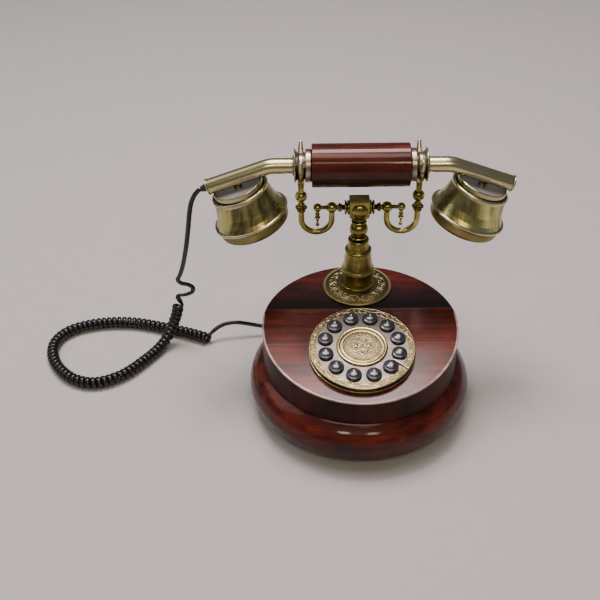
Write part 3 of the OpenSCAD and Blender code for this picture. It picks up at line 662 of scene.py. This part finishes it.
def scrolls(r_in, r_out, count, tree, normal, place, line_r):
    """A running scroll between two radii: a wavy vine with a spiral and two leaves at each of
    its `count` half waves, an even number so that the vine closes."""
    rm, amp = (r_in + r_out) / 2, (r_out - r_in) / 2
    n = count * 16
    vine = [polar(rm + 0.62 * amp * math.sin(count * a / 2), a)
            for a in [2 * math.pi * i / n for i in range(n)]]
    parts = [bead_line(drape(vine, tree, normal, place), line_r, normal, closed=True)]
    for k in range(count):
        a0 = 2 * math.pi * (k + 0.5) / count
        sign = 1 if k % 2 == 0 else -1
        cx, cy = polar(rm - sign * 0.18 * amp, a0)
        spiral = []
        for i in range(18):
            t = i / 17
            r = amp * (0.78 * (1 - t) + 0.10)
            ang = a0 - sign * (math.pi / 2) + sign * t * 2.6 * math.pi + (math.pi if sign < 0 else 0)
            spiral.append((cx + r * math.cos(ang), cy + r * math.sin(ang)))
        parts.append(bead_line(drape(spiral, tree, normal, place), line_r, normal,
                               taper=lambda t: 1.1 - 0.3 * t + (0.9 if t > 0.93 else 0)))
        for side in (-1, 1):
            a1 = a0 + side * 0.42 * math.pi / count * 2
            leaf = [polar(rm + sign * amp * (0.25 + 0.6 * t),
                          a1 + side * 0.10 * t * math.pi / count * 2) for t in np.linspace(0, 1, 6)]
            parts.append(bead_line(drape(leaf, tree, normal, place), line_r * 1.3, normal,
                                   taper=lambda t: max(0.15, math.sin(math.pi * min(1, t * 0.9 + 0.05)))))
    return join(parts)


# ---------------------------------------------------------------- the block's rim: a bead of lighter wood, a painted highlight
EDGE_R, EDGE_IN = 1.05, 0.72     # the bead's radius, and how far in from the rim its middle is
EDGE_POINTS = 181
rim_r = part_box("top_block")[1][0] / MM - EDGE_IN
start = math.asin(CREASE_Y / rim_r)
rim = []
for a in np.linspace(start - 0.005, -math.pi - start + 0.005, EDGE_POINTS):
    x, y = polar(rim_r, a)
    rim.append(Vector((x, y, REAR_H - (CREASE_Y - y) * math.tan(SLOPE) - EDGE_IN)) * MM)
along = np.linspace(0, 1, EDGE_POINTS)
ends = np.minimum(1.0, 25 * np.minimum(along, along[::-1]) + 0.4)
v, f = tube_mesh(np.array([tuple(q) for q in rim]), np.tile(np.array(tuple(SN)), (EDGE_POINTS, 1)),
                 12, EDGE_R * MM * ends, EDGE_R * MM * ends)
block_edge = mesh_object("block_edge", v, f, edge_wood_painted_highlight, "base", sharp=80)

# ---------------------------------------------------------------- dial ornament
plate_tree = tree_of("dial_plate", "medallion", "finger_stop")
STOP_TOP = max((v.co - DIAL).dot(SN) for v in nodes["finger_stop"].data.vertices) / MM
v, f = scrolls(40.4, 44.9, 26, plate_tree, SN, on_slope, 0.36)
dial_scroll = mesh_object("dial_scroll", v, f, engraved, "base", sharp=80)
parts = []
for r, w in ((45.25, 0.3), (40.0, 0.22)):
    parts.append(bead_line(drape(circle(r, 180), plate_tree, SN, on_slope, -0.08), w, SN,
                           closed=True))
v, f = join(parts)
dial_lines = mesh_object("dial_lines", v, f, engraved, "base", sharp=80)

# the finger stop's lower edge, from its inner to its outer end, before the stop is turned
stop_low = [(30.9 * (1 - t) + 45.5 * t, -0.1 * (1 - t) - 3.2 * t) for t in np.linspace(0, 1, 12)]
turn = math.radians(-30)
stop_low = [(x * math.cos(turn) - y * math.sin(turn), x * math.sin(turn) + y * math.cos(turn))
            for x, y in stop_low]
# a pale raised line along the stop's lower edge, in the pale brass: painted highlight
v, f = bead_line([on_slope(x, y, STOP_TOP) for x, y in stop_low], 0.55, SN)
stop_edge = mesh_object("stop_edge", v, f, painted_highlight_brass, "base", sharp=80)

# ---------------------------------------------------------------- medallion ornament
DOME_RISE = 0.8          # a boss's height over its radius
DOME_SINK = 0.05


def dome(x, y, r):
    """A low round boss standing on the medallion."""
    rings = [(math.cos(t), math.sin(t)) for t in np.radians([0, 35, 65])]
    n = 10
    verts = []
    for c, h in rings:
        flat = [(x + r * c * math.cos(q), y + r * c * math.sin(q))
                for q in np.radians(range(0, 360, 360 // n))]
        verts += drape(flat, plate_tree, SN, on_slope, h * r * DOME_RISE - DOME_SINK)
    verts += drape([(x, y)], plate_tree, SN, on_slope, r * DOME_RISE - DOME_SINK)
    faces = [(k * n + i, k * n + (i + 1) % n, (k + 1) * n + (i + 1) % n, (k + 1) * n + i)
             for k in range(len(rings) - 1) for i in range(n)]
    crown = len(rings) * n
    faces += [(crown - n + i, crown - n + (i + 1) % n, crown) for i in range(n)]
    return verts, faces


def leaf_line(points, width):
    """A raised leaf or petal along a line of points, thickest in the middle."""
    return bead_line(drape(points, plate_tree, SN, on_slope), width, SN,
                     taper=lambda t: max(0.12, math.sin(math.pi * min(1.0, 0.08 + 0.9 * t))))


# a rim and a thin circle, a ring of dots, a wreath of leaves, and a rosette of six petals
parts = []
for r, w in ((17.3, 0.85), (10.9, 0.22)):
    parts.append(bead_line(drape(circle(r, 120), plate_tree, SN, on_slope, -0.1), w, SN,
                           closed=True, sides=8))
for i in range(48):
    parts.append(dome(*polar(15.2, 2 * math.pi * i / 48), 0.42))
for i in range(28):
    a = 2 * math.pi * i / 28
    side = 1 if i % 2 else -1
    parts.append(leaf_line([polar(12.9 + side * 0.9 * t, a + 0.16 * t)
                            for t in np.linspace(-0.3, 1, 7)], 0.42))
for i in range(6):
    a = 2 * math.pi * i / 6 + math.pi / 6
    for side in (-1, 1):
        bow = [polar(2.2 + 7.4 * t, a + side * 0.46 * math.sin(math.pi * t))
               for t in np.linspace(0, 1, 14)]
        parts.append(bead_line(drape(bow, plate_tree, SN, on_slope), 0.62, SN))
parts.append(dome(0, 0, 1.5))
v, f = join(parts)
medal_relief = mesh_object("medal_relief", v, f, engraved, "base", sharp=80)

# ---------------------------------------------------------------- key labels
# sizes and heights of the words on a key, in mm: (size, distance above the key's middle)
DIGIT, DIGIT_ALONE, LETTERS, STAR = (4.2, 1.15), (5.4, 0.0), (2.3, -2.1), (8.0, -1.4)


def text_mesh(word, size):
    """The word's flat outline as vertices (mm) and faces, about its own middle."""
    cu = bpy.data.curves.new("word", "FONT")
    cu.body = word
    cu.size = size
    cu.align_x = "CENTER"
    cu.align_y = "CENTER"
    cu.resolution_u = 3
    o = bpy.data.objects.new("word", cu)
    scene.collection.objects.link(o)
    bpy.context.view_layer.update()
    me = o.evaluated_get(bpy.context.evaluated_depsgraph_get()).to_mesh()
    bm = bmesh.new()
    bm.from_mesh(me)
    bmesh.ops.remove_doubles(bm, verts=bm.verts, dist=0.01)
    bmesh.ops.triangulate(bm, faces=bm.faces)
    for _ in range(2):
        long = [e for e in bm.edges if e.calc_length() > 0.7]
        bmesh.ops.subdivide_edges(bm, edges=long, cuts=1)
        bmesh.ops.triangulate(bm, faces=bm.faces)
    verts = [(q.co.x, q.co.y) for q in bm.verts]
    faces = [tuple(x.index for x in p.verts) for p in bm.faces]
    bm.free()
    bpy.data.objects.remove(o)
    return verts, faces


for key, (digit, letters, step) in KEYS.items():
    cx, cy = polar(KEY_CIRCLE_R, math.radians(45 - 30 * step))
    tree = tree_of(key)
    if letters:
        words = [(digit, *DIGIT), (letters, *LETTERS)]
    else:
        words = [(digit, *(STAR if digit == "*" else DIGIT_ALONE))]
    parts = []
    for word, size, dy in words:
        tv, tf = text_mesh(word, size)
        flat = [(cx + x, cy + y + dy) for x, y in tv]
        parts.append((drape(flat, tree, SN, on_slope, 0.05), tf))
    v, f = join(parts)
    label = mesh_object(key + "_label", v, f, white_ink, key, smooth=False)

# ---------------------------------------------------------------- flange ornament


def on_flange(x, y, z=0.0):
    """A point on the flange, from the column's axis."""
    return FLANGE + Vector((x, y, z)) * MM


flange_tree = tree_of("flange")
v, f = scrolls(17.8, 27.8, 16, flange_tree, UP, on_flange, 0.55)
flange_scroll = mesh_object("flange_scroll", v, f, flange_relief, "base", sharp=80)

# ---------------------------------------------------------------- floor and light
pale_floor = plain("floor", (0.50, 0.50, 0.51), 0.8, bump=0.03, scale=60, spread=0.03)
floor = mesh_object("floor", [(-4, -4, 0), (4, -4, 0), (4, 6, 0), (-4, 6, 0)], [(0, 1, 2, 3)],
                    pale_floor, smooth=False)


def area(name, place, target, size, power, colour=(1, 1, 1), size_y=None):
    """A rectangular lamp that faces a point. Sizes in m, power in W."""
    data = bpy.data.lights.new(name, "AREA")
    data.shape = "RECTANGLE"
    data.size = size
    data.size_y = size_y or size
    data.energy = power
    data.color = colour
    o = bpy.data.objects.new(name, data)
    o.location = place
    o.rotation_euler = (Vector(target) - Vector(place)).to_track_quat("-Z", "Y").to_euler()
    scene.collection.objects.link(o)
    return o


area("overhead", (-0.14, 0.485, 1.75), (-0.02, 0.02, 0.1), 1.0, 32, (1, 0.83, 0.805), 0.56)
area("top", (-0.10, -0.17, 1.8), (0, 0.02, 0.1), 0.9, 7, (1, 0.90, 0.85), 0.55)
area("front_strip", (-0.05, -1.30, 1.42), (0, 0, 0.15), 1.1, 4.2, (1, 0.76, 0.48), 0.18)
area("front_left", (-0.42, -1.30, 1.30), (0, 0, 0.1), 0.26, 2.6, (1, 0.80, 0.55), 0.10)
area("front_right", (0.32, -1.30, 1.30), (0, 0, 0.1), 0.26, 2.6, (1, 0.80, 0.55), 0.10)
area("left", (-1.3, 0.3, 1.2), (0, 0, 0.1), 1.1, 5, (0.95, 0.96, 1))
area("right", (1.7, 0.5, 1.0), (0, 0, 0.1), 0.7, 2.4).visible_glossy = False

world = bpy.data.worlds.new("studio")
scene.world = world
world.use_nodes = True
wt = world.node_tree
wt.nodes.clear()
wout = wt.nodes.new("ShaderNodeOutputWorld")
bg = wt.nodes.new("ShaderNodeBackground")
bg.inputs["Color"].default_value = (0.80, 0.83, 0.88, 1)
bg.inputs["Strength"].default_value = 0.16
wt.links.new(bg.outputs[0], wout.inputs[0])

bpy.context.view_layer.update()
